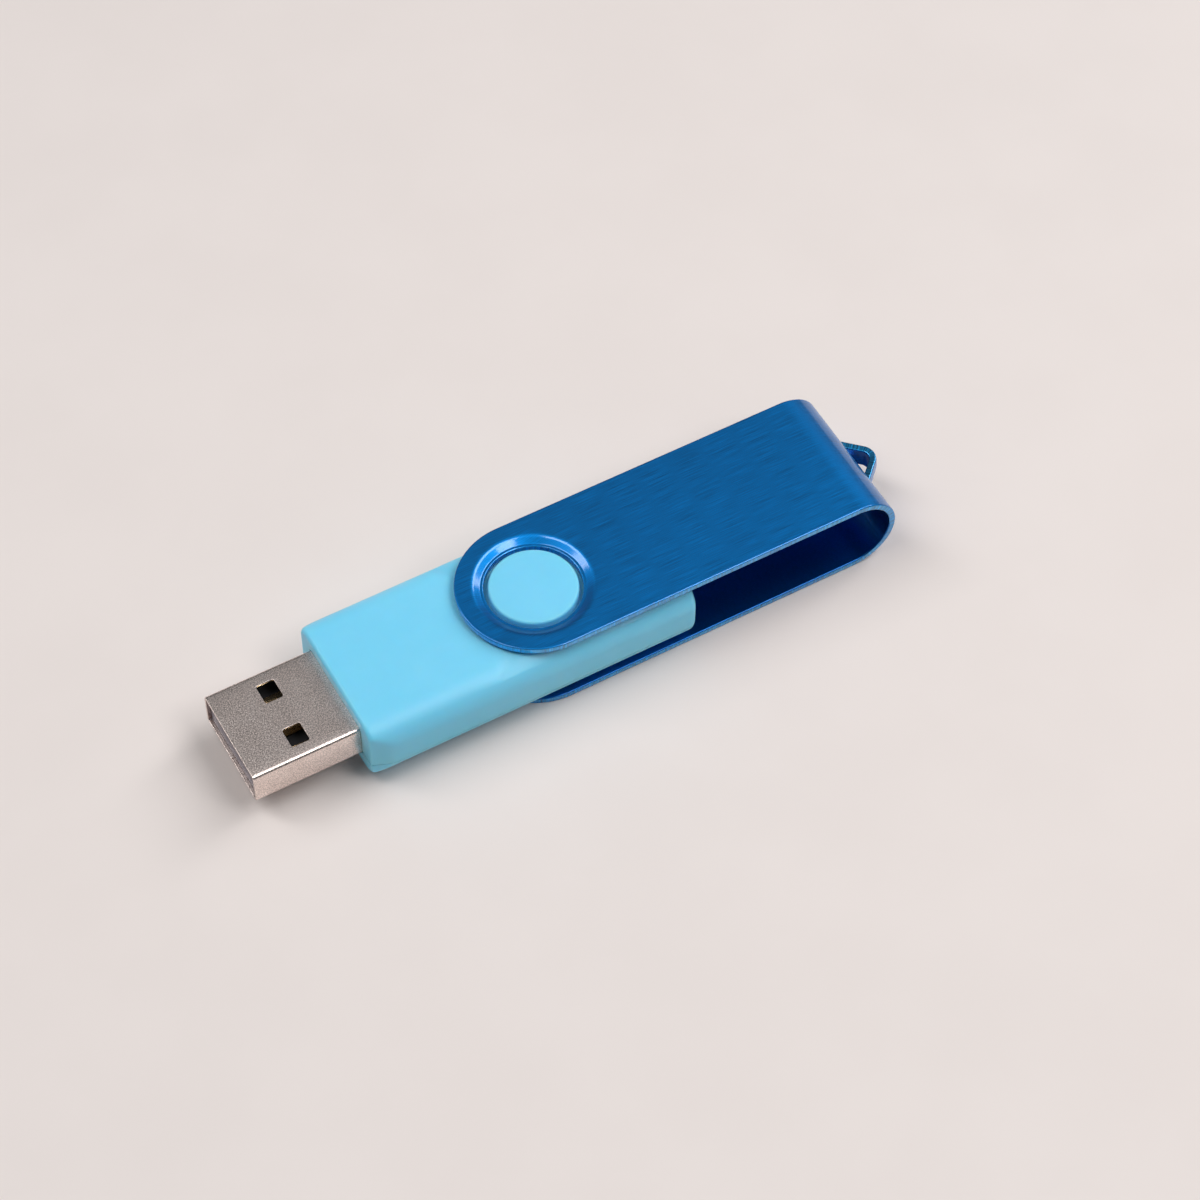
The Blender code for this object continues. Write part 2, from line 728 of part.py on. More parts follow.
def on_board(height, below):
    """Lowest and highest level of a component of that height on the board."""
    if below:
        return BOARD_BOTTOM - SOLDER_GAP - height, BOARD_BOTTOM - SOLDER_GAP
    return BOARD_TOP + SOLDER_GAP, BOARD_TOP + SOLDER_GAP + height


def make_chip_part(name, height, x, y, below, material):
    """A small ceramic part with a slightly larger metal cap on each end, across the board."""
    low, high = on_board(height, below)
    inset = CHIP_CAP_PROUD
    body = block(
        name,
        (x - CHIP_WIDTH / 2 + inset, y - CHIP_LENGTH / 2 + inset, low + inset),
        (x + CHIP_WIDTH / 2 - inset, y + CHIP_LENGTH / 2 - inset, high - inset),
    )
    for side in (-1, 1):
        outer = y + side * CHIP_LENGTH / 2
        inner = outer - side * CHIP_CAP
        cap = block(
            f"{name}_cap_{side}",
            (x - CHIP_WIDTH / 2, min(inner, outer), low),
            (x + CHIP_WIDTH / 2, max(inner, outer), high),
        )
        join(body, cap)
    return make_part(body, material, DRIVE_SWIVEL)


def make_led():
    """The activity light at the rear edge of the board: a base with a round lens."""
    low, high = on_board(LED_HEIGHT, below=False)
    step = low + LED_HEIGHT / 2
    base = block(
        "activity_led",
        (REAR_STRIP_X - CHIP_WIDTH / 2, -CHIP_LENGTH / 2, low),
        (REAR_STRIP_X + CHIP_WIDTH / 2, CHIP_LENGTH / 2, step),
    )
    lens = cylinder(
        "led_lens",
        LED_LENS_RADIUS,
        LED_LENS_RADIUS,
        step - LED_LENS_EDGE,
        high,
        (REAR_STRIP_X, 0),
        edge=LED_LENS_EDGE,
    )
    join(base, lens)
    lamp = make_material("led_lens", (0.8, 0.85, 0.95), 0.2)
    return make_part(base, lamp, DRIVE_SWIVEL)


def make_crystal():
    """The metal-canned crystal that times the controller, under the board."""
    low, high = on_board(CRYSTAL_HEIGHT, below=True)
    can = block(
        "crystal",
        (CRYSTAL_X - CRYSTAL_LENGTH / 2, -CRYSTAL_WIDTH / 2, low),
        (CRYSTAL_X + CRYSTAL_LENGTH / 2, CRYSTAL_WIDTH / 2, high),
        corner=CRYSTAL_EDGE,
    )
    steel = make_material("crystal_can", (0.7, 0.7, 0.68), 0.3, 1.0)
    return make_part(can, steel, DRIVE_SWIVEL)


def make_electronics():
    black = make_material("chip_black", (0.02, 0.02, 0.022), 0.55)
    beige = make_material("capacitor_beige", (0.42, 0.32, 0.2), 0.5)
    dark = make_material("resistor_black", (0.03, 0.03, 0.03), 0.4)
    make_board()
    make_package(
        "flash_chip", FLASH_LENGTH, FLASH_WIDTH, (0, 180), FLASH_LEADS, FLASH_X, False, black
    )
    make_package(
        "controller_chip",
        CONTROLLER_SIDE,
        CONTROLLER_SIDE,
        (0, 90, 180, 270),
        CONTROLLER_LEADS,
        CONTROLLER_X,
        True,
        black,
    )
    make_crystal()
    make_led()
    power_x = TAIL_END + LEAD_REACH + CHIP_WIDTH / 2
    beside_crystal = CRYSTAL_WIDTH / 2 + CHIP_LENGTH
    make_chip_part("capacitor_1", CAPACITOR_HEIGHT, power_x, POWER_OFFSET, False, beige)
    make_chip_part("capacitor_2", CAPACITOR_HEIGHT, power_x, -POWER_OFFSET, False, beige)
    make_chip_part("capacitor_3", CAPACITOR_HEIGHT, CRYSTAL_X, beside_crystal, True, beige)
    make_chip_part("capacitor_4", CAPACITOR_HEIGHT, CRYSTAL_X, -beside_crystal, True, beige)
    make_chip_part("resistor_1", RESISTOR_HEIGHT, power_x, DATA_OFFSET, False, dark)
    make_chip_part("resistor_2", RESISTOR_HEIGHT, power_x, -DATA_OFFSET, False, dark)
    make_chip_part("resistor_3", RESISTOR_HEIGHT, REAR_STRIP_X, POWER_OFFSET, False, dark)


clear_scene()
PARTS = new_collection("usb_flash_drive")
CUTTERS = new_collection("cutters")
SWIVEL = add_empty("cutter_swivel")
DRIVE_SWIVEL = add_empty("drive_swivel")
COVER_SWIVEL = add_empty("cover_swivel")
sky_blue = make_material("housing_sky_blue", (0.17, 0.62, 0.82), 0.38)
make_cover()
make_upper_housing(sky_blue)
make_lower_housing(sky_blue)
make_plug_shell()
make_insulator()
make_contacts()
make_electronics()
bpy.context.view_layer.update()
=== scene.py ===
import json
import math

import bmesh
import bpy
from mathutils import Matrix, Vector


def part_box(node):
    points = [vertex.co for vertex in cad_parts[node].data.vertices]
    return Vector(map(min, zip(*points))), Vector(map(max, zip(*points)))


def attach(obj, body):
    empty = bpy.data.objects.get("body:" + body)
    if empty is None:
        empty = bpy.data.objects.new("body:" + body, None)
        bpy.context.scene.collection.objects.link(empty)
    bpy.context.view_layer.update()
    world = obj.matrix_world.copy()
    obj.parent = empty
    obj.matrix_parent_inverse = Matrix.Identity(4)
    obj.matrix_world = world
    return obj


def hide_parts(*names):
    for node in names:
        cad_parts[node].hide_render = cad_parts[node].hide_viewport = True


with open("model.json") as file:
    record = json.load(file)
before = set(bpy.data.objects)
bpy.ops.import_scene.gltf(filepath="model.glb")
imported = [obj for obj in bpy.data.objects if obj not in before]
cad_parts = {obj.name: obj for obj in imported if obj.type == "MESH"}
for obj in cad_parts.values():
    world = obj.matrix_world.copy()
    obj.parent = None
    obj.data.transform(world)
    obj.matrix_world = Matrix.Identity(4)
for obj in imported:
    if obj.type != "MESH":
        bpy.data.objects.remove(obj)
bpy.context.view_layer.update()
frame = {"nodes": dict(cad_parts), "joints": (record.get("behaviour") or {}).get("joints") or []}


# ---------------------------------------------------------------- circuit board
# The board is glass-fibre laminate under a green solder mask. It lies between the two halves
# of the housing, trapped by their posts, and everything electronic is soldered to it.
TRACK_HEIGHT = 0.00002
MASK_GREEN = (0.006, 0.09, 0.03, 1)
TRACK_GREEN = (0.02, 0.2, 0.07, 1)


def shader_group(name, inputs, outputs):
    """A node group with its named inputs and outputs, ready to be filled."""
    group = bpy.data.node_groups.new(name, "ShaderNodeTree")
    new_socket = group.interface.new_socket
    for label, kind, value in inputs:
        made = new_socket(name=label, in_out="INPUT", socket_type=f"NodeSocket{kind}")
        if value is not None:
            made.default_value = value
    for label, kind in outputs:
        new_socket(name=label, in_out="OUTPUT", socket_type=f"NodeSocket{kind}")
    return group, group.nodes.new("NodeGroupInput"), group.nodes.new("NodeGroupOutput")


def put(tree, kind, settings=(), **values):
    """Adds a node. Settings are its properties; values are its sockets, plain or linked."""
    node = tree.nodes.new(kind)
    for label, value in settings:
        setattr(node, label, value)
    for label, value in values.items():
        target = node.inputs[int(label[1:]) if label[1:].isdigit() else label.replace("_", " ")]
        if isinstance(value, bpy.types.NodeSocket):
            tree.links.new(value, target)
        else:
            target.default_value = value
    return node


def maths(tree, operation, *values, clamp=False):
    """The result of one operation on numbers, plain or linked."""
    settings = [("operation", operation), ("use_clamp", clamp)]
    numbered = {f"_{place}": value for place, value in enumerate(values)}
    return put(tree, "ShaderNodeMath", settings, **numbered).outputs[0]


def mix_tones(tree, share, low, high, way="MIX"):
    """Two colours, plain or linked, mixed by a share or multiplied."""
    settings = [("data_type", "RGBA"), ("blend_type", way)]
    return put(tree, "ShaderNodeMix", settings, _0=share, _6=low, _7=high).outputs[2]


def sized_noise(group, entry, detail, roughness):
    """Noise on a group's own Vector, with features of about the group's own Size."""
    per_metre = maths(group, "DIVIDE", 1.0, entry.outputs["Size"])
    return put(
        group, "ShaderNodeTexNoise", Vector=entry.outputs["Vector"], Scale=per_metre,
        Detail=detail, Roughness=roughness,
    ).outputs[0]


def build_speckle():
    """Fine, even speckle: the tooth of a blasted mould, a dull plating or a filled resin."""
    group, entry, leave = shader_group(
        "speckle",
        [("Vector", "Vector", None), ("Size", "Float", 0.0001), ("Contrast", "Float", 0.5)],
        [("Mask", "Float"), ("Height", "Float")],
    )
    fine = sized_noise(group, entry, detail=2.0, roughness=0.6)
    centred = maths(group, "SUBTRACT", fine, 0.5)
    spread = maths(group, "MULTIPLY_ADD", centred, entry.outputs["Contrast"], 0.5, clamp=True)
    group.links.new(spread, leave.inputs["Mask"])
    group.links.new(fine, leave.inputs["Height"])
    return group


SPECKLE = build_speckle()


def use_group(tree, group, **values):
    return put(tree, "ShaderNodeGroup", [("node_tree", group)], **values)


def new_finish(name, **values):
    """A material, its node tree, its shader and the object coordinates it is patterned on."""
    finish = bpy.data.materials.new(name)
    finish.use_nodes = True
    tree = finish.node_tree
    shader = tree.nodes["Principled BSDF"]
    for label, value in values.items():
        shader.inputs[label.replace("_", " ")].default_value = value
    place = tree.nodes.new("ShaderNodeTexCoord").outputs["Object"]
    return finish, tree, shader, place


def range_to(tree, mask, low, high):
    """Spreads a mask from 0 to 1 over a range of roughness, shade or strength."""
    return put(tree, "ShaderNodeMapRange", Value=mask, To_Min=low, To_Max=high).outputs[0]


def vary_roughness(tree, shader, mask, low, high):
    tree.links.new(range_to(tree, mask, low, high), shader.inputs["Roughness"])


def bump(tree, shader, height, distance):
    """Raises the surface by a height of 0 to 1, times a distance in metres."""
    made = put(tree, "ShaderNodeBump", Height=height, Distance=distance)
    tree.links.new(made.outputs[0], shader.inputs["Normal"])


def build_solder_mask():
    """Green mask over copper tracks, which show as slightly lighter, raised lines."""
    finish, tree, shader, place = new_finish("green_solder_mask", Coat_Weight=0.3)
    tracks = put(
        tree, "ShaderNodeTexBrick", [("offset", 0.5), ("squash", 1.0)], Vector=place,
        Color1=(0, 0, 0, 1), Color2=(0, 0, 0, 1), Mortar=(1, 1, 1, 1), Scale=260.0,
        Mortar_Size=0.04, Mortar_Smooth=0.2, Brick_Width=0.9, Row_Height=0.16,
    )
    colour = mix_tones(tree, tracks.outputs["Color"], MASK_GREEN, TRACK_GREEN)
    tree.links.new(colour, shader.inputs["Base Color"])
    grain = use_group(tree, SPECKLE, Vector=place, Size=0.00008, Contrast=1.0)
    vary_roughness(tree, shader, grain.outputs["Mask"], low=0.28, high=0.42)
    bump(tree, shader, tracks.outputs["Fac"], TRACK_HEIGHT)
    return finish


def finish_node(node_name, finish):
    """Gives a CAD node its finish in place of its plain one."""
    made = frame["nodes"][node_name]
    made.data.materials.clear()
    made.data.materials.append(finish)


finish_node("circuit_board", build_solder_mask())


# ---------------------------------------------------------------- chips and small parts
# The memory and controller are black filled resin on tinned leads. Capacitors and resistors
# are fired ceramic, the crystal sits in a drawn can, and the lamp is clear cast resin.
GRAINS_PER_DRIFT = 12
GRAIN_SHADES = (0.82, 1.08)
ROUGHNESS_SPREAD = 0.06
RESIN_TOOTH = 0.000002
LAMP_TOOTH = 0.0000005


def soft_step(tree, value, start, end, low=0.0, high=1.0):
    """Goes softly from low to high while a value goes from start to end."""
    return put(
        tree, "ShaderNodeMapRange", [("interpolation_type", "SMOOTHSTEP")],
        Value=value, From_Min=start, From_Max=end, To_Min=low, To_Max=high,
    ).outputs[0]


def build_mottle():
    """Broad, soft unevenness of colour, as handling and moulding leave on any surface."""
    group, entry, leave = shader_group(
        "mottle",
        [
            ("Vector", "Vector", None), ("Size", "Float", 0.004),
            ("Low Colour", "Color", (0, 0, 0, 1)), ("High Colour", "Color", (1, 1, 1, 1)),
        ],
        [("Color", "Color")],
    )
    cloud = sized_noise(group, entry, detail=3.0, roughness=0.55)
    share = soft_step(group, cloud, start=0.3, end=0.7)
    blend = mix_tones(group, share, entry.outputs["Low Colour"], entry.outputs["High Colour"])
    group.links.new(blend, leave.inputs["Color"])
    return group


MOTTLE = build_mottle()


def drift_tone(tree, place, size, low, high):
    """A colour that drifts between two tones over patches of a size."""
    mottle = use_group(tree, MOTTLE, Vector=place, Size=size, Low_Colour=low, High_Colour=high)
    return mottle.outputs["Color"]


def shade_tone(tree, shader, tone, mask, darkest, brightest):
    """Gives a finish its tone, darkened and brightened by a mask."""
    shade = range_to(tree, mask, darkest, brightest)
    shaded = mix_tones(tree, 1.0, tone, shade, "MULTIPLY")
    tree.links.new(shaded, shader.inputs["Base Color"])


def speckled_finish(name, low, high, size, roughness, tooth=RESIN_TOOTH, **values):
    """A finish whose colour drifts between two tones and whose surface has a fine tooth."""
    finish, tree, shader, place = new_finish(name, **values)
    tone = drift_tone(tree, place, size * GRAINS_PER_DRIFT, low, high)
    grain = use_group(tree, SPECKLE, Vector=place, Size=size, Contrast=1.6)
    mask = grain.outputs["Mask"]
    shade_tone(tree, shader, tone, mask, *GRAIN_SHADES)
    vary_roughness(
        tree, shader, mask, roughness - ROUGHNESS_SPREAD, roughness + ROUGHNESS_SPREAD
    )
    bump(tree, shader, grain.outputs["Height"], tooth)
    return finish


chip_resin = speckled_finish(
    "black_chip_resin", (0.018, 0.018, 0.02, 1), (0.03, 0.03, 0.032, 1),
    size=0.00009, roughness=0.55,
)
for chip in ("flash_chip", "controller_chip"):
    finish_node(chip, chip_resin)

capacitor_ceramic = speckled_finish(
    "beige_ceramic", (0.36, 0.26, 0.16, 1), (0.46, 0.36, 0.24, 1),
    size=0.00006, roughness=0.45,
)
for number in range(1, 5):
    finish_node(f"capacitor_{number}", capacitor_ceramic)

resistor_glaze = speckled_finish(
    "black_resistor_glaze", (0.02, 0.02, 0.022, 1), (0.05, 0.05, 0.05, 1),
    size=0.00006, roughness=0.3,
)
for number in range(1, 4):
    finish_node(f"resistor_{number}", resistor_glaze)

finish_node("crystal", speckled_finish(
    "drawn_can", (0.6, 0.6, 0.58, 1), (0.72, 0.72, 0.7, 1),
    size=0.00005, roughness=0.3, Metallic=1.0,
))
finish_node("activity_led", speckled_finish(
    "clear_lamp_resin", (0.72, 0.78, 0.88, 1), (0.84, 0.88, 0.95, 1),
    size=0.00012, roughness=0.18, tooth=LAMP_TOOTH, Coat_Weight=0.5,
))


# ---------------------------------------------------------------- contacts and insert
# Four gilt blades lie in the grooves of a black plastic insert, which fills the bottom half
# of the plug's mouth. Near the mouth the insert is painted lavender grey, a painted reflection.
INSERT_BLACK = (0.012, 0.012, 0.014, 1)
FRONT_REFLECTION_GREY = (0.28, 0.25, 0.29, 1)
FRONT_REFLECTION_LENGTH = 0.0006

gilt = speckled_finish(
    "gilt_blade", (0.9, 0.72, 0.42, 1), (1.0, 0.84, 0.56, 1),
    size=0.00007, roughness=0.2, Metallic=1.0,
)
for contact in ("contact_vbus", "contact_data_minus", "contact_data_plus", "contact_ground"):
    finish_node(contact, gilt)


def build_insert_plastic():
    """Black plastic, painted lavender grey within a short way of the plug's mouth as a painted
    reflection.
    """
    finish, tree, shader, place = new_finish("insert_plastic")
    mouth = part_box("plug_insulator")[0].x
    along = put(tree, "ShaderNodeSeparateXYZ", Vector=place).outputs["X"]
    # Painted reflection: lavender grey at the mouth, fading to the plain black a short way in.
    reflection_share = soft_step(tree, along, mouth, mouth + FRONT_REFLECTION_LENGTH, low=1.0, high=0.0)
    grain = use_group(tree, SPECKLE, Vector=place, Size=0.00007, Contrast=2.0)
    mask = grain.outputs["Mask"]
    painted_reflection = maths(tree, "MULTIPLY", reflection_share, range_to(tree, mask, low=0.75, high=1.0))
    colour = mix_tones(tree, painted_reflection, INSERT_BLACK, FRONT_REFLECTION_GREY)
    tree.links.new(colour, shader.inputs["Base Color"])
    vary_roughness(tree, shader, mask, low=0.4, high=0.55)
    bump(tree, shader, grain.outputs["Height"], RESIN_TOOTH)
    return finish


finish_node("plug_insulator", build_insert_plastic())


# ---------------------------------------------------------------- plug shell
# Thin steel sheet rolled into a rectangular tube with its seam underneath, then plated dull
# nickel. Latch windows are pierced in both faces, and two tabs reach back to the board.
SHELL_SHEET = 0.0003
SHELL_CORNER = 0.0005
SHELL_TUBE = 0.01875
SHELL_SEAM = 0.00008
SHELL_EDGE = 0.00012
WINDOW_FRONT = 0.0053
WINDOW_REAR = 0.0074
WINDOW_NEAR = 0.0019
WINDOW_FAR = 0.0044
WINDOW_CORNER = 0.00022
CURVE_RISE = 0.293
TAB_HALF_HEIGHT = 0.0008
NICKEL_LOW = (0.76, 0.65, 0.6, 1)
NICKEL_HIGH = (0.83, 0.71, 0.66, 1)
NICKEL_TOOTH = 0.000007
SIDE_ROUGHNESS = 0.27
SIDE_TOOTH = 0.15
HAIR = 1e-6  # points closer than this count as touching


def everything(shape):
    return [*shape.verts, *shape.edges, *shape.faces]


def score(shape, point, direction):
    """Runs a line of edges round a shape where a plane crosses it."""
    bmesh.ops.bisect_plane(
        shape, geom=everything(shape), dist=HAIR, plane_co=point, plane_no=direction
    )


def drop_faces(shape, chosen):
    """Removes the faces whose middle point passes a test."""
    gone = [face for face in shape.faces if chosen(face.calc_center_median())]
    bmesh.ops.delete(shape, geom=gone, context="FACES")


def add_piece(name, shape, finishes, body, slot, *replaced, turn_out=True):
    """Makes a finished shape an object that rides on its body and stands for its CAD nodes."""
    if turn_out:
        bmesh.ops.recalc_face_normals(shape, faces=shape.faces)
    mesh = bpy.data.meshes.new(name)
    shape.to_mesh(mesh)
    shape.free()
    mesh.shade_smooth()
    piece = bpy.data.objects.new(name, mesh)
    bpy.context.scene.collection.objects.link(piece)
    for finish in finishes:
        mesh.materials.append(finish)
    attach(piece, body)
    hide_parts(*replaced)
    return piece


def give_wall(piece, thickness, rim_material=0, inner_material=0):
    """Thickens a sheet evenly to both sides, with a finish for its cut edges and its inside."""
    wall = piece.modifiers.new("wall", "SOLIDIFY")
    wall.thickness = thickness
    wall.offset = 0.0
    wall.use_even_offset = True
    wall.material_offset_rim = rim_material
    wall.material_offset = inner_material


def soften_edges(piece, width, segments=3, angle=50):
    """Rounds every edge that turns by more than an angle in degrees."""
    edges = piece.modifiers.new("softened edges", "BEVEL")
    edges.width = width
    edges.segments = segments
    edges.limit_method = "ANGLE"
    edges.angle_limit = math.radians(angle)
    edges.harden_normals = True


def round_window_corner(shell, cell, window_middle):
    """Leaves the outer part of a window's corner cell, behind a curve of two short steps.

    The middle of the curve rises above its chord as the middle of a quarter circle does.
    """
    by_distance = sorted(cell.verts, key=lambda v: (v.co.xy - window_middle).length)
    corner = by_distance[-1]
    ends = [v for v in cell.verts if v not in (by_distance[0], corner)]
    radius = (ends[0].co - corner.co).length
    _, loop = bmesh.utils.face_split(cell, *ends)
    diagonal = loop.edge
    inner = [f for f in diagonal.link_faces if by_distance[0] in f.verts]
    bmesh.ops.delete(shell, geom=inner, context="FACES_ONLY")
    _, middle = bmesh.utils.edge_split(diagonal, ends[0], 0.5)
    middle.co += (corner.co - middle.co).normalized() * radius * CURVE_RISE


def build_plug_shell():
    """The tube at the middle of its sheet, with its windows, tabs and seam cut."""
    low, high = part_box("plug_shell")
    middle = (low + high) / 2
    size = high - low - Vector((0, SHELL_SHEET, SHELL_SHEET))
    shell = bmesh.new()
    bmesh.ops.create_cube(
        shell, size=1.0, matrix=Matrix.Translation(middle) @ Matrix.Diagonal((*size, 1.0))
    )
    drop_faces(shell, lambda c: abs(c.x - middle.x) > size.x / 2 - HAIR)
    along = [e for e in shell.edges if abs(e.verts[0].co.x - e.verts[1].co.x) > HAIR]
    bmesh.ops.bevel(
        shell, geom=along, offset=SHELL_CORNER - SHELL_SHEET / 2, segments=6,
        profile=0.5, affect="EDGES", material=-1,
    )
    rear = low.x + SHELL_TUBE
    front_x, back_x = low.x + WINDOW_FRONT, low.x + WINDOW_REAR
    for x in (front_x, front_x + WINDOW_CORNER, back_x - WINDOW_CORNER, back_x, rear):
        score(shell, (x, 0, 0), (1, 0, 0))
    near_y, far_y = WINDOW_NEAR + WINDOW_CORNER, WINDOW_FAR - WINDOW_CORNER
    for y in (WINDOW_NEAR, near_y, far_y, WINDOW_FAR, SHELL_SEAM / 2):
        score(shell, (0, y, 0), (0, 1, 0))
        score(shell, (0, -y, 0), (0, 1, 0))
    board_low, board_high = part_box("circuit_board")
    board_level = (board_low.z + board_high.z) / 2
    for z in (board_level - TAB_HALF_HEIGHT, board_level + TAB_HALF_HEIGHT):
        score(shell, (0, 0, z), (0, 0, 1))

    def in_window(c):
        return front_x < c.x < back_x and WINDOW_NEAR < abs(c.y) < WINDOW_FAR

    def in_corner(c):
        beside = c.x < front_x + WINDOW_CORNER or c.x > back_x - WINDOW_CORNER
        return in_window(c) and beside and not near_y < abs(c.y) < far_y

    drop_faces(shell, lambda c: in_window(c) and not in_corner(c))
    for cell in [f for f in shell.faces if in_corner(f.calc_center_median())]:
        side = math.copysign(1, cell.calc_center_median().y)
        window_middle = Vector(((front_x + back_x) / 2, side * (WINDOW_NEAR + WINDOW_FAR) / 2))
        round_window_corner(shell, cell, window_middle)
    drop_faces(shell, lambda c: c.x > rear and abs(c.z - board_level) > TAB_HALF_HEIGHT)
    drop_faces(shell, lambda c: abs(c.y) < SHELL_SEAM / 2 and c.z < middle.z)
    return shell


def build_nickel():
    """Dull nickel: a fine blasted speckle on the faces, drawn smoother along the sides."""
    finish, tree, shader, place = new_finish("dull_nickel", Metallic=1.0)
    speck = use_group(tree, SPECKLE, Vector=place, Size=0.00013, Contrast=3.6)
    mask = speck.outputs["Mask"]
    tone = drift_tone(tree, place, size=0.0025, low=NICKEL_LOW, high=NICKEL_HIGH)
    shade_tone(tree, shader, tone, mask, darkest=0.62, brightest=1.32)
    low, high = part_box("plug_shell")
    height = put(tree, "ShaderNodeSeparateXYZ", Vector=place).outputs["Z"]
    from_middle = maths(tree, "SUBTRACT", height, (low.z + high.z) / 2)
    level = maths(tree, "ABSOLUTE", from_middle)
    half = (high.z - low.z) / 2
    face = soft_step(tree, level, half - SHELL_EDGE / 2, half - SHELL_EDGE / 10)
    face_roughness = range_to(tree, mask, low=0.3, high=0.46)
    rough = put(tree, "ShaderNodeMix", _0=face, _2=SIDE_ROUGHNESS, _3=face_roughness)
    tree.links.new(rough.outputs[0], shader.inputs["Roughness"])
    strength = range_to(tree, face, low=SIDE_TOOTH, high=1.0)
    bump(tree, shader, maths(tree, "MULTIPLY", speck.outputs["Height"], strength), NICKEL_TOOTH)
    return finish


shell = add_piece(
    "plated_plug_shell", build_plug_shell(), [build_nickel()],
    "drive", "plug_nickel", "plug_shell",
)
give_wall(shell, SHELL_SHEET)
soften_edges(shell, SHELL_EDGE)


# ---------------------------------------------------------------- housing halves
# Two injection-moulded halves in sky-blue plastic meet low on the sides. Each has a button
# moulded on its outer face that the cover turns on, inside a shallow recess.
HOUSING_CORNER = 0.003
HOUSING_WALL = 0.0011
HOUSING_FACE_WALL = 0.0014
FRONT_RADIUS = 0.0005
REAR_RADIUS = 0.0009
FACET_LENGTH = 0.0024
FACET_DEPTH = 0.001
FACET_SOFTNESS = 0.0003
BUTTON_RADIUS = 0.00495
BUTTON_EDGE = 0.0003
RECESS_RADIUS = 0.0072
RECESS_DEPTH = 0.0005
RECESS_EDGE = 0.0001
SEAM_HALF_GAP = 0.00005
OPENING_HALF_WIDTH = 0.0061
OPENING_HALF_HEIGHT = 0.00235
OPENING_CORNER = 0.0005
OPENING_MARGIN = 0.0001
ABOVE_SHELL = 0.0018  # how far the housing's face stands above the plug shell's
RECESS_MARGIN = 0.0012
SEAM_EDGE = 0.00007
LEAST_CORNER = 0.00001
TURN_SHARE = 0.9  # of the corner's turn, where the parting plane cuts through it
RING_STEPS = 128
BUTTON_EDGE_STEPS = 5
REAR_STEPS = 8
FRONT_STEPS = 6
CORNER_STEPS = 8
DEEP_SIDE_STEPS = 12
SHALLOW_SIDE_STEPS = 2
SIDE_STEP = 0.001  # while the sheet is flat, before its sides are folded down
PLAIN_COLUMNS = 4
FACET_COLUMNS = 16
FRONT_FACE_COLUMNS = 7
FRONT_FACE_STEP = 0.00015
PLASTIC_LOW = (0.2, 0.65, 0.9, 1)
PLASTIC_HIGH = (0.215, 0.665, 0.92, 1)
PLASTIC_TOOTH = 0.000003

SWIVEL = Vector(frame["joints"][0]["pos_m"])


def new_ring(shape, edges):
    """Extrudes a line of open edges in place, and gives the new points and edges."""
    made = bmesh.ops.extrude_edge_only(shape, edges=edges)["geom"]
    points = [g for g in made if isinstance(g, bmesh.types.BMVert)]
    fresh = set(points)
    ring = [g for g in made if isinstance(g, bmesh.types.BMEdge) and fresh >= set(g.verts)]
    return points, ring


def ring_out(shape, edges, radius, height):
    """One more ring round the swivel axis, at a new radius and height."""
    points, ring = new_ring(shape, edges)
    old = points[0].co.xy.length
    bmesh.ops.scale(shape, verts=points, vec=(radius / old, radius / old, 1))
    bmesh.ops.translate(shape, verts=points, vec=(0, 0, height - points[0].co.z))
    return ring


def shares(steps):
    """The share of the way at each of some equal steps, the last one included."""
    return [i / steps for i in range(1, steps + 1)]


def quarter_turn(radius, steps):
    """How far out and how far down each step of a rounded edge goes."""
    turns = [math.pi / 2 * share for share in shares(steps)]
    return [(radius * math.sin(t), radius * (1 - math.cos(t))) for t in turns]


def open_line(shape, chosen):
    """Open edges whose two ends both pass a test."""
    return [e for e in shape.edges if e.is_boundary and all(chosen(v.co) for v in e.verts)]


def extend(shape, edges, shift):
    """Extrudes a line of open edges by a shift."""
    points, ring = new_ring(shape, edges)
    bmesh.ops.translate(shape, verts=points, vec=shift)
    return ring


class Section:
    """A cross-section of the housing: its place along X and its rounded-box outline."""

    def __init__(self, x, width, height, corner):
        self.x = x
        self.width = width
        self.height = height
        self.corner = max(corner, LEAST_CORNER)

    def inset(self, x, amount):
        """The same outline at another place, drawn in by an amount all round."""
        return Section(x, self.width - amount, self.height - amount, self.corner - amount)

    def turn(self, parting):
        """The part of the corner's turn that is above the parting plane, less a last bit."""
        low = self.height - self.corner
        if parting <= low:
            return math.pi / 2
        return TURN_SHARE * math.acos((parting - low) / self.corner)

    def point(self, station, parting):
        """Stations 0 to 1 cross the face, 1 to 2 round the corner, 2 to 3 go down the side."""
        side = math.copysign(1.0, station)
        step = abs(station)
        middle = self.width - self.corner
        low = self.height - self.corner
        if step <= 1:
            return Vector((self.x, side * middle * step, self.height))
        turn = self.turn(parting)
        angle = turn * (min(step, 2.0) - 1)
        if step <= 2:
            across = middle + self.corner * math.sin(angle)
            return Vector((self.x, side * across, low + self.corner * math.cos(angle)))
        start = low + self.corner * math.cos(turn)
        z = start + (step - 2) * (parting - start)
        over = max(z - low, -low - z, 0.0)
        across = middle + math.sqrt(max(self.corner**2 - over**2, 0.0))
        return Vector((self.x, side * across, z))


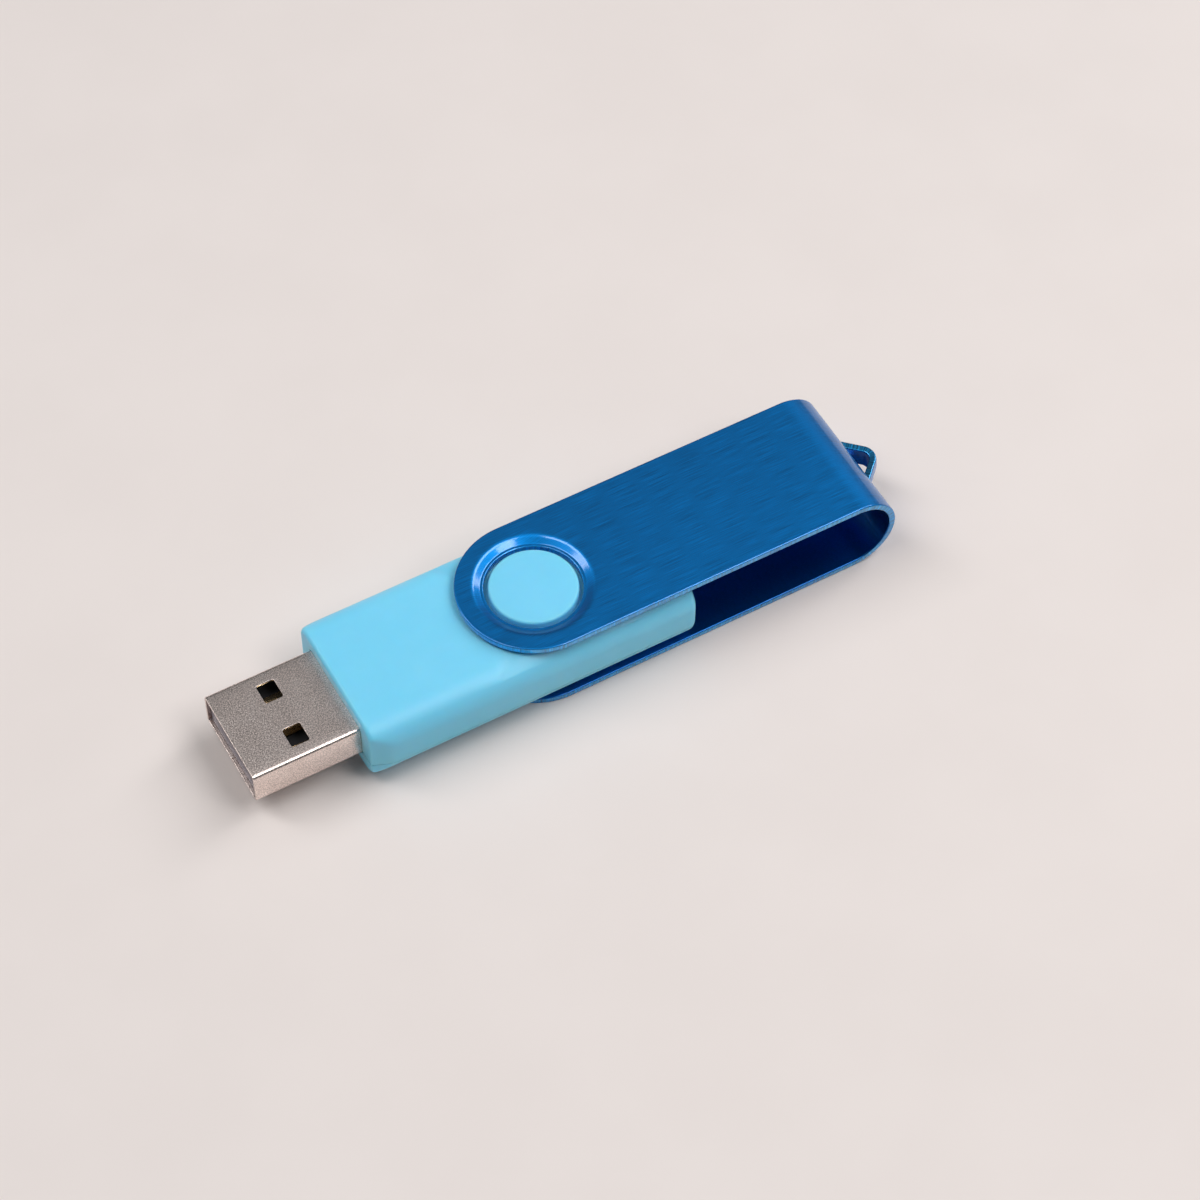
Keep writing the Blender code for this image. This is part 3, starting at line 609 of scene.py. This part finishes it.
def button_and_recess(shape, face_level, button_top):
    """The button, the recess round it and a few rings that the rest of the face grows from."""
    top = button_top - face_level
    bmesh.ops.create_circle(
        shape, cap_ends=True, segments=RING_STEPS, radius=BUTTON_RADIUS - BUTTON_EDGE,
        matrix=Matrix.Translation((0, 0, top)),
    )
    edges = list(shape.edges)
    for out, down in quarter_turn(BUTTON_EDGE, BUTTON_EDGE_STEPS):
        edges = ring_out(shape, edges, BUTTON_RADIUS - BUTTON_EDGE + out, top - down)
    for radius, height in (
        (BUTTON_RADIUS, -RECESS_DEPTH),
        ((BUTTON_RADIUS + RECESS_RADIUS) / 2, -RECESS_DEPTH),
        (RECESS_RADIUS, -RECESS_DEPTH),
        (RECESS_RADIUS, -RECESS_EDGE),
        (RECESS_RADIUS + RECESS_EDGE, 0.0),
        (RECESS_RADIUS + 3 * RECESS_EDGE, 0.0),
        (RECESS_RADIUS + 7 * RECESS_EDGE, 0.0),
    ):
        edges = ring_out(shape, edges, radius, height)
    return edges


def square_off(shape, edges, half):
    """Grows a ring out to a square with the same number of points."""
    points, ring = new_ring(shape, edges)
    for point in points:
        flat = point.co.xy
        across = max(abs(flat.x), abs(flat.y))
        along = min(abs(flat.x), abs(flat.y))
        share = math.atan2(along, across) / (math.pi / 4)
        first = abs(flat.x) >= abs(flat.y)
        x, y = (1.0, share) if first else (share, 1.0)
        point.co.x = math.copysign(half * x, flat.x)
        point.co.y = math.copysign(half * y, flat.y)
    return ring


def soften_facet(shape, front, half_width):
    """Planes off the two upright front corners, with soft edges where the facet ends."""
    angle = math.atan2(FACET_DEPTH, FACET_LENGTH)
    for side in (-1, 1):
        on_facet = Vector((front + FACET_LENGTH / 2, side * (half_width - FACET_DEPTH / 2), 0))
        outward = Vector((-math.sin(angle), side * math.cos(angle), 0))
        for point in shape.verts:
            beyond = (point.co - on_facet).dot(outward)
            by_opening = abs(point.co.y) < OPENING_HALF_WIDTH + OPENING_MARGIN
            if beyond <= -FACET_SOFTNESS or by_opening:
                continue
            if beyond < FACET_SOFTNESS:
                beyond = (beyond + FACET_SOFTNESS) ** 2 / (4 * FACET_SOFTNESS)
            point.co -= outward * beyond


def grow_sides(shape, step, count):
    """Extends a flat sheet to both sides in equal steps."""
    for _ in range(count):
        for side in (-1, 1):
            reach = max(side * v.co.y for v in shape.verts)
            line = open_line(shape, lambda c: side * c.y > reach - HAIR)
            extend(shape, line, (0, side * step, 0))


def fold_down(shape, main, parting, corner_end, side_length):
    """Turns a flat sheet down over the corners and sides, and notes each point's station."""
    flat = main.width - main.corner
    station = shape.verts.layers.float.new("station")
    for point in shape.verts:
        across = abs(point.co.y)
        if across <= flat:
            step = across / flat
        elif across <= corner_end + HAIR:
            step = 1 + (across - flat) / (main.corner * main.turn(parting))
        else:
            step = 2 + (across - corner_end) / side_length
        point[station] = math.copysign(step, point.co.y)
        lift = point.co.z
        if across > flat:
            here = Section(point.co.x, main.width, main.height + lift, main.corner + lift)
            point.co = here.point(point[station], parting)
        else:
            point.co.z = main.height + lift
    return station


def housing_half(face_level, button_top, parting, front, rear, half_width):
    """One half, face upwards, with X and Y about the swivel and Z about mid height."""
    half = bmesh.new()
    edges = button_and_recess(half, face_level, button_top)
    square = RECESS_RADIUS + RECESS_MARGIN
    square_off(half, edges, square)
    main = Section(0.0, half_width, face_level, HOUSING_CORNER)
    corner_end = half_width - HOUSING_CORNER + HOUSING_CORNER * main.turn(parting)
    grow_sides(half, (corner_end - square) / CORNER_STEPS, CORNER_STEPS)
    side_steps = DEEP_SIDE_STEPS if parting < 0 else SHALLOW_SIDE_STEPS
    grow_sides(half, SIDE_STEP, side_steps)
    station = fold_down(half, main, parting, corner_end, side_steps * SIDE_STEP)

    def add_columns(line, sections):
        for section in sections:
            points, line = new_ring(half, line)
            for point in points:
                point.co = section.point(point[station], parting)
        return line

    edge = max(v.co.x for v in half.verts)
    line = open_line(half, lambda c: c.x > edge - HAIR)
    straight = [edge + (rear - REAR_RADIUS - edge) * share for share in shares(PLAIN_COLUMNS)]
    rounded = [
        main.inset(rear - REAR_RADIUS + out, back)
        for out, back in quarter_turn(REAR_RADIUS, REAR_STEPS)
    ]
    line = add_columns(line, [main.inset(x, 0.0) for x in straight] + rounded)
    bmesh.ops.contextual_create(half, geom=line)

    line = open_line(half, lambda c: c.x < -edge + HAIR)
    facet_start = front + FACET_LENGTH + 2 * FACET_SOFTNESS
    facet_end = front + FRONT_RADIUS
    straight = [-edge + (facet_start + edge) * share for share in shares(PLAIN_COLUMNS)]
    straight += [
        facet_start + (facet_end - facet_start) * share for share in shares(FACET_COLUMNS)
    ]
    rounded = [
        main.inset(facet_end - out, back) for out, back in quarter_turn(FRONT_RADIUS, FRONT_STEPS)
    ]
    front_face = [
        main.inset(front, FRONT_RADIUS + FRONT_FACE_STEP * (i + 1))
        for i in range(FRONT_FACE_COLUMNS)
    ]
    line = add_columns(line, [main.inset(x, 0.0) for x in straight] + rounded + front_face)
    soften_facet(half, front, half_width)
    inside = Section(
        front + HOUSING_WALL, half_width - HOUSING_WALL, face_level - HOUSING_FACE_WALL,
        HOUSING_CORNER - HOUSING_WALL,
    )
    opening = [
        Section(x, OPENING_HALF_WIDTH, OPENING_HALF_HEIGHT, OPENING_CORNER)
        for x in (front, front + HOUSING_WALL)
    ]
    back_wall = Section(rear - HOUSING_WALL, inside.width, inside.height, inside.corner)
    line = add_columns(line, [*opening, inside, back_wall])
    bmesh.ops.contextual_create(half, geom=line)
    rim = [e for e in half.edges if e.is_boundary]
    for point in {v for e in rim for v in e.verts}:
        point.co.z = parting
    bmesh.ops.triangle_fill(half, edges=rim, use_beauty=True, normal=(0, 0, -1))
    return half


def build_plastic():
    """Sky-blue plastic, slightly see-through, with the fine tooth of the mould."""
    finish, tree, shader, place = new_finish(
        "sky_blue_plastic", Subsurface_Weight=0.6, Subsurface_Scale=0.0016,
        Subsurface_Radius=(0.35, 0.8, 1.0), Specular_IOR_Level=0.4,
    )
    tone = drift_tone(tree, place, size=0.006, low=PLASTIC_LOW, high=PLASTIC_HIGH)
    tree.links.new(tone, shader.inputs["Base Color"])
    grain = use_group(tree, SPECKLE, Vector=place, Size=0.00012, Contrast=1.5)
    vary_roughness(tree, shader, grain.outputs["Mask"], low=0.34, high=0.46)
    bump(tree, shader, grain.outputs["Height"], PLASTIC_TOOTH)
    return finish


upper_low, upper_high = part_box("upper_housing")
parting_level = upper_low.z - SEAM_HALF_GAP - SWIVEL.z
plastic = build_plastic()
for name, node, side in (
    ("upper_housing_moulding", "upper_housing", 1),
    ("lower_housing_moulding", "lower_housing", -1),
):
    shape = housing_half(
        face_level=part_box("plug_shell")[1].z - SWIVEL.z + ABOVE_SHELL,
        button_top=upper_high.z - SWIVEL.z,
        parting=side * parting_level + SEAM_HALF_GAP,
        front=upper_low.x - SWIVEL.x,
        rear=upper_high.x - SWIVEL.x,
        half_width=upper_high.y,
    )
    bmesh.ops.scale(shape, verts=shape.verts, vec=(1, 1, side))
    bmesh.ops.translate(shape, verts=shape.verts, vec=SWIVEL)
    moulding = add_piece(name, shape, [plastic], "drive", "housing_plastic", node)
    soften_edges(moulding, SEAM_EDGE, segments=2)


# ---------------------------------------------------------------- swivel cover
# One strip of aluminium sheet: blanked, brushed along its length on the outer side, dimpled
# round two holes, bent into a U and dyed blue. A tab at the bend is slit and pushed out as a
# keyring loop.
SHEET = 0.0008
PLATE_LENGTH = 0.03595
HOLE_RADIUS = 0.0054
DIMPLE_LIP = 0.00035
DIMPLE_SLOPE = 0.00115
DIMPLE_DEPTH = 0.0005
DIMPLE_STEPS = 16
DIMPLE_BLEND = 0.25
DIMPLE_MARGIN = 0.0003
SLIT_HALF_LENGTH = 0.0034
SLIT_HALF_HEIGHT = 0.0013
LOOP_TIP = 0.0013
LOOP_FOOT = 0.00035
COVER_EDGE = 0.0002
ACROSS_STEPS = 24
SLIT_STEPS = 5
PLATE_STEPS = 6
BEND_STEPS = 28
SLIT_BAND_STEPS = 4
LOOP_CUTS = 3
LOOP_BEND_STEPS = 6
LOOP_TIP_STEPS = 12
MARK_CONTRAST = 2.4
MARK_SMOOTHER = 0.05
MARK_ROUGHER = 0.07
CUT_EDGE, INSIDE = 1, 2  # which of the cover's finishes each of them takes


def slope_rise(share):
    """Height gained at a share of the slope's width, from 0 to 1, with blended ends."""
    steep = 1 / (1 - DIMPLE_BLEND)
    if share < DIMPLE_BLEND:
        return steep * share * share / (2 * DIMPLE_BLEND)
    if share > 1 - DIMPLE_BLEND:
        return 1 - steep * (1 - share) ** 2 / (2 * DIMPLE_BLEND)
    return steep * (share - DIMPLE_BLEND / 2)


def dimple_rings(shape, level):
    """Rings from the hole's edge up an even slope with blended ends to the flat of the plate."""
    bmesh.ops.create_circle(
        shape, cap_ends=False, segments=4 * ACROSS_STEPS, radius=HOLE_RADIUS,
        matrix=Matrix.Translation((0, 0, level - DIMPLE_DEPTH)),
    )
    edges = ring_out(shape, list(shape.edges), HOLE_RADIUS + DIMPLE_LIP, level - DIMPLE_DEPTH)
    for share in shares(DIMPLE_STEPS):
        radius = HOLE_RADIUS + DIMPLE_LIP + DIMPLE_SLOPE * share
        edges = ring_out(shape, edges, radius, level - DIMPLE_DEPTH * (1 - slope_rise(share)))
    return ring_out(shape, edges, HOLE_RADIUS + DIMPLE_LIP + DIMPLE_SLOPE + DIMPLE_MARGIN, level)


def plate_edge(shape, edges, half):
    """Grows the last ring to the plate's outline: round at the end, square towards the bend."""
    points, ring = new_ring(shape, edges)
    corner = ACROSS_STEPS / 2
    for point in points:
        angle = math.atan2(point.co.y, point.co.x)
        turn = abs(round(angle / (math.pi / 2 / ACROSS_STEPS)))
        x, y = half, half
        if turn >= ACROSS_STEPS:
            x, y = half * math.cos(angle), half * abs(math.sin(angle))
        elif turn > corner:
            x = half * (ACROSS_STEPS - turn) / corner
        elif turn > SLIT_STEPS:
            beyond = (turn - SLIT_STEPS) / (corner - SLIT_STEPS)
            y = SLIT_HALF_LENGTH + (half - SLIT_HALF_LENGTH) * beyond
        else:
            y = SLIT_HALF_LENGTH * turn / SLIT_STEPS
        point.co.xy = (x, math.copysign(y, angle))
    return ring


def loop_line(foot, tip):
    """The loop's middle line from above, one side of it, from its foot to its tip."""
    centre = Vector((tip - LOOP_TIP, 0))
    start = Vector((foot, SLIT_HALF_LENGTH))
    bend = Vector((foot, SLIT_HALF_LENGTH - LOOP_FOOT))
    apart = bend - centre
    turn = math.atan2(apart.y, apart.x) - math.acos(LOOP_TIP / apart.length)
    touch = centre + LOOP_TIP * Vector((math.cos(turn), math.sin(turn)))
    flank = touch - bend
    line = [start]
    for share in [0.0, *shares(LOOP_BEND_STEPS)]:
        first = start.lerp(bend, share)
        second = bend.lerp(bend + flank.normalized() * LOOP_FOOT, share)
        line.append(first.lerp(second, share))
    line.append(touch)
    for share in shares(LOOP_TIP_STEPS):
        angle = turn * (1 - share)
        line.append(centre + LOOP_TIP * Vector((math.cos(angle), math.sin(angle))))
    return line


def along_line(line, share):
    """The point at a share of a line's length."""
    lengths = [(b - a).length for a, b in zip(line, line[1:])]
    left = share * sum(lengths)
    for (a, b), length in zip(zip(line, line[1:]), lengths):
        if left <= length and length > 0:
            return a.lerp(b, left / length)
        left -= length
    return line[-1]


def strip_faces(shape, bend_x):
    """The faces of the bend that lie between the two slits."""
    chosen = []
    for face in shape.faces:
        middle = face.calc_center_median()
        between = abs(middle.z) < SLIT_HALF_HEIGHT and abs(middle.y) < SLIT_HALF_LENGTH
        if between and middle.x > bend_x:
            chosen.append(face)
    return chosen


def level_edges(faces):
    """The edges of some faces that run level, each of them once."""
    edges = dict.fromkeys(e for f in faces for e in f.edges)
    return [e for e in edges if abs(e.verts[0].co.z - e.verts[1].co.z) < HAIR]


def push_out_loop(shape, bend_x, radius, tip):
    """Slits the bend above and below a strip, and pushes the strip out into a loop."""
    strip = strip_faces(shape, bend_x)
    inside = set(strip)
    slits = [e for e in level_edges(strip) if len(inside & set(e.link_faces)) == 1]
    bmesh.ops.split_edges(shape, edges=slits)
    bmesh.ops.subdivide_edges(
        shape, edges=level_edges(strip), cuts=LOOP_CUTS, use_grid_fill=True
    )
    foot = bend_x + radius
    line = loop_line(foot, tip)
    for point in {v for f in strip_faces(shape, bend_x) for v in f.verts}:
        share = 1 - abs(point.co.y) / SLIT_HALF_LENGTH
        if share > HAIR:
            place = along_line(line, share)
            point.co.x += place.x - foot
            point.co.y = math.copysign(place.y, point.co.y)


def lay_out_grain(shape, bend_x, radius):
    """A map of the flat strip before it was bent, so that its brushing follows the bend."""
    layer = shape.loops.layers.uv.new("strip")
    for face in shape.faces:
        for corner in face.loops:
            x, y, z = corner.vert.co
            beyond = x - bend_x
            if face.calc_center_median().x > bend_x:
                length = bend_x + radius * math.atan2(max(beyond, 0.0), z)
            elif z > 0:
                length = x
            else:
                length = 2 * bend_x + math.pi * radius - x
            corner[layer].uv = (length, y)


def build_cover(half_width, level, tip):
    """The cover as a sheet with no thickness, made about the swivel and moved into place."""
    cover = bmesh.new()
    edges = dimple_rings(cover, level)
    plate_edge(cover, edges, half_width)
    line = open_line(cover, lambda c: c.x > half_width - HAIR)
    for _ in range(PLATE_STEPS):
        line = extend(cover, line, ((PLATE_LENGTH - half_width) / PLATE_STEPS, 0, 0))
    slit_turn = math.asin(SLIT_HALF_HEIGHT / level)
    for turn, steps in ((math.pi / 2 - slit_turn, BEND_STEPS), (slit_turn, SLIT_BAND_STEPS)):
        spun = bmesh.ops.spin(
            cover, geom=[*line, *dict.fromkeys(v for e in line for v in e.verts)],
            cent=(PLATE_LENGTH, 0, 0), axis=(0, 1, 0), angle=turn, steps=steps,
        )
        line = [g for g in spun["geom_last"] if isinstance(g, bmesh.types.BMEdge)]
    bmesh.ops.mirror(cover, geom=everything(cover), axis="Z", merge_dist=HAIR)
    bmesh.ops.remove_doubles(cover, verts=cover.verts, dist=HAIR)
    bmesh.ops.recalc_face_normals(cover, faces=cover.faces)
    lay_out_grain(cover, PLATE_LENGTH, level)
    push_out_loop(cover, PLATE_LENGTH, level, tip)
    bmesh.ops.translate(cover, verts=cover.verts, vec=SWIVEL)
    return cover


def build_dyed(name, low, high, roughness, coat, marks, stretch, shades, tooth):
    """Dyed aluminium under a clear skin, with fine marks stretched along the strip."""
    finish, tree, shader, _ = new_finish(
        name, Metallic=1.0, Coat_Weight=coat, Coat_Roughness=0.12, Coat_IOR=1.7,
    )
    strip = put(tree, "ShaderNodeUVMap", [("uv_map", "strip")]).outputs["UV"]
    drawn = put(tree, "ShaderNodeMapping", Vector=strip, Scale=(stretch, 1.0, 1.0)).outputs[0]
    lines = use_group(tree, SPECKLE, Vector=drawn, Size=marks, Contrast=MARK_CONTRAST)
    mask = lines.outputs["Mask"]
    tone = drift_tone(tree, strip, size=0.012, low=low, high=high)
    shade_tone(tree, shader, tone, mask, *shades)
    vary_roughness(tree, shader, mask, roughness - MARK_SMOOTHER, roughness + MARK_ROUGHER)
    bump(tree, shader, lines.outputs["Height"], tooth)
    return finish


brushed = build_dyed(
    "blue_brushed_aluminium", (0.0, 0.195, 0.56, 1), (0.0, 0.205, 0.585, 1), roughness=0.46,
    coat=0.7, marks=0.00005, stretch=0.012, shades=(0.72, 1.26), tooth=0.000003,
)
# Painted shade: the inside is a darker blue than the outside, standing for the shade between the
# plates; its smoother, unbrushed finish is real.
shaded_unbrushed = build_dyed(
    "blue_unbrushed_inside_painted_shade", (0.0, 0.09, 0.34, 1), (0.0, 0.1, 0.37, 1), roughness=0.34,
    coat=0.2, marks=0.0001, stretch=0.3, shades=(0.85, 1.15), tooth=0.000002,
)
sheared = build_dyed(
    "blue_sheared_edge", (0.0, 0.24, 0.6, 1), (0.02, 0.36, 0.72, 1), roughness=0.3,
    coat=0.9, marks=0.00016, stretch=0.6, shades=(0.55, 1.4), tooth=0.00001,
)
cover_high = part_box("swivel_cover")[1]
bent_sheet = build_cover(
    half_width=cover_high.y,
    level=cover_high.z - SWIVEL.z - SHEET / 2,
    tip=cover_high.x - SWIVEL.x - SHEET / 2,
)
cover = add_piece(
    "brushed_swivel_cover", bent_sheet, [brushed, sheared, shaded_unbrushed],
    "cover", "anodised_cover", "swivel_cover", turn_out=False,
)
give_wall(cover, SHEET, rim_material=CUT_EDGE, inner_material=INSIDE)
soften_edges(cover, COVER_EDGE, angle=55)


# ---------------------------------------------------------------- studio
# A plain pale table under two long soft strip lights, above the drive on its right and on its
# left, and a small soft box in front. The camera looks down from an arm's length, from the
# front left.
FLOOR_HALF = 1.5
LIGHT_DISTANCE = 0.7
CAMERA_PLACE = (-0.10241, -0.18710, 0.30237)
CAMERA_TURN = (35.646, -0.339, -29.324)
CAMERA_LENS = 100.5
SENSOR_WIDTH = 36.0
NEAREST_SEEN = 0.01
STRIP_WIDTH = 0.2
ROOM_COLOUR = (0.9, 0.95, 1.0, 1)
ROOM_STRENGTH = 0.12
TABLE_LOW = (0.76, 0.69, 0.66, 1)
TABLE_HIGH = (0.775, 0.705, 0.675, 1)


def build_floor():
    """A flat table top with a faint drift of colour."""
    floor_shape = bmesh.new()
    bmesh.ops.create_grid(floor_shape, x_segments=1, y_segments=1, size=FLOOR_HALF)
    mesh = bpy.data.meshes.new("table_top")
    floor_shape.to_mesh(mesh)
    floor_shape.free()
    finish, tree, shader, place = new_finish("pale_table", Roughness=0.9)
    tone = drift_tone(tree, place, size=0.02, low=TABLE_LOW, high=TABLE_HIGH)
    tree.links.new(tone, shader.inputs["Base Color"])
    mesh.materials.append(finish)
    floor = bpy.data.objects.new("table_top", mesh)
    bpy.context.scene.collection.objects.link(floor)


def add_light(name, direction, along, length, power):
    """A soft light that faces the drive from a direction, its length along another."""
    lamp = bpy.data.lights.new(name, "AREA")
    lamp.shape = "RECTANGLE"
    lamp.size, lamp.size_y = length, STRIP_WIDTH
    lamp.energy = power
    stand = bpy.data.objects.new(name, lamp)
    towards = Vector(direction).normalized()
    sideways = Vector(along).cross(towards).normalized()
    turned = Matrix((sideways.cross(-towards), sideways, towards)).transposed()
    stand.matrix_world = turned.to_4x4()
    stand.location = towards * LIGHT_DISTANCE
    bpy.context.scene.collection.objects.link(stand)


build_floor()
for name, direction, along, length, power in (
    ("right_strip", (0.57, -0.05, 0.82), (0.75, 0.57, -0.48), 0.85, 3.0),
    ("left_strip", (-0.42, 0.27, 0.87), (0.37, -0.65, 0.39), 0.62, 2.25),
    ("front_softbox", (0.28, -0.5, 0.82), (1, 0, 0), 0.25, 1.0),
):
    add_light(name, direction, along, length, power)

room = bpy.data.worlds.new("studio_room")
room.use_nodes = True
background = room.node_tree.nodes["Background"]
background.inputs["Color"].default_value = ROOM_COLOUR
background.inputs["Strength"].default_value = ROOM_STRENGTH
bpy.context.scene.world = room
bpy.context.scene.view_settings.view_transform = "Standard"

lens = bpy.data.cameras.new("camera")
lens.lens = CAMERA_LENS
lens.sensor_width = SENSOR_WIDTH
lens.clip_start = NEAREST_SEEN
camera = bpy.data.objects.new("camera", lens)
camera.location = CAMERA_PLACE
camera.rotation_euler = [math.radians(angle) for angle in CAMERA_TURN]
bpy.context.scene.collection.objects.link(camera)
bpy.context.scene.camera = camera
